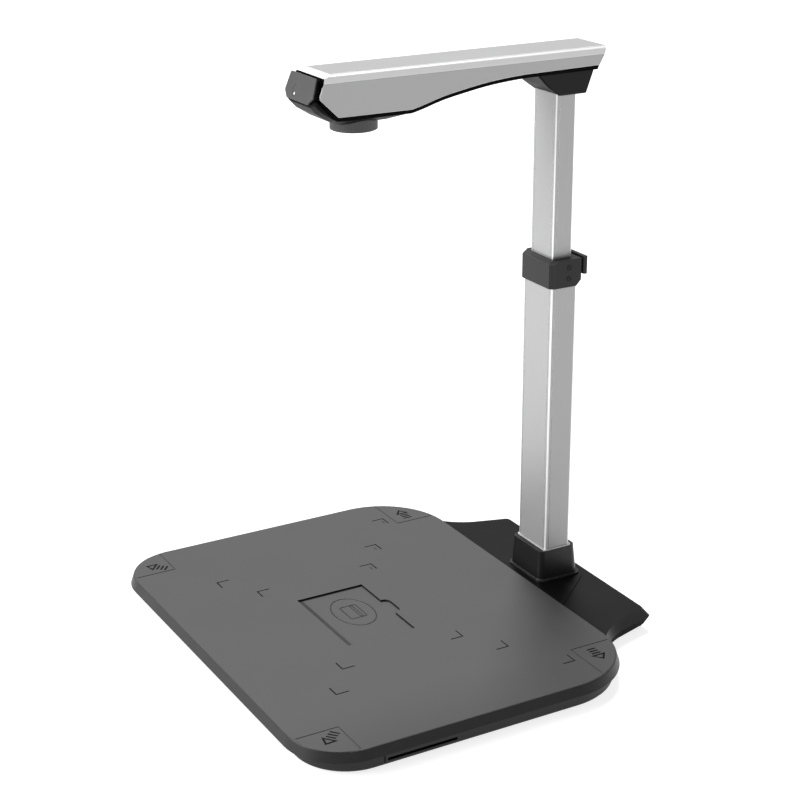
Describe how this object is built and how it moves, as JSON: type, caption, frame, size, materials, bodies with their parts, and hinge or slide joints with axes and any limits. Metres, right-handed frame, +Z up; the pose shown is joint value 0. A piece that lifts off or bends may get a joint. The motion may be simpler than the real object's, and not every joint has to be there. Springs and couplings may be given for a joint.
{
  "type": "document camera",
  "caption": "Document camera: flat page pad with a card recess, a telescopic column with a height clamp, and a slim camera arm that looks down on the pad.",
  "frame": {"origin": "middle of the footprint, on the table", "axes": "+Z up the column, +Y from the reader towards the column, +X to the reader's right"},
  "size_m": [0.3664, 0.3401, 0.4493],
  "materials": {
    "charcoal": "fine grained moulded plastic",
    "black_gloss": "gloss moulded plastic",
    "dark_grey": "satin moulded plastic",
    "silver": "satin silver",
    "column": "satin anodised",
    "steel": "zinc plated",
    "rubber": "matte",
    "glass": "coated",
    "board": "coated circuit board",
    "nylon": "natural nylon",
    "wire": "wire sleeve",
    "lamp": "clear light pipe"
  },
  "bodies": {
    "base": {"pad_cover": "charcoal", "pad_tray": "dark_grey", "card_slot_bezel": "dark_grey", "card_reader": "dark_grey", "antenna_board": "board", "main_board": "board", "tray_screws": "steel", "joining_straps": "steel", "strap_screws": "steel", "rubber_feet": "rubber", "bracket_cover": "black_gloss", "bracket_floor": "dark_grey", "usb_socket": "steel", "column_mount_plate": "steel", "column_foot_plug": "nylon", "mount_screws": "steel", "column_collar": "black_gloss", "lower_column": "column", "guide_bush": "nylon", "clamp_collar": "dark_grey", "lever_pin": "steel", "brake_pad": "rubber", "clamp_screws": "steel"},
    "lever": {"clamp_lever": "dark_grey"},
    "mast": {"upper_column": "column", "slide_shoe": "nylon", "neck_block": "dark_grey", "neck_screws": "steel", "swivel_post": "steel", "swivel_washer": "steel"},
    "arm": {"swivel_bush": "nylon", "arm_shell": "silver", "arm_housing": "black_gloss", "camera_pod": "dark_grey", "front_cap": "charcoal", "front_bezel": "black_gloss", "front_window": "glass", "status_light": "lamp", "lens_barrel": "dark_grey", "lens_window": "glass", "led_board": "board", "camera_module": "dark_grey", "camera_lens": "glass", "camera_board": "board", "arm_wire": "wire", "arm_screws": "steel"}
  },
  "joints": [
    {"name": "column_slide", "type": "slide", "parent": "base", "child": "mast", "axis": [0, 0, 1], "range_m": [-0.12, 0.085]},
    {"name": "arm_swivel", "type": "hinge", "parent": "mast", "child": "arm", "pos_m": [0, 0.1339, 0.43], "axis": [0, 0, 1], "range_deg": [-90, 90]},
    {"name": "lever_hinge", "type": "hinge", "parent": "base", "child": "lever", "pos_m": [-0.016, 0.153, 0.277], "axis": [0, 0, 1], "range_deg": [0, 100]}
  ]
}
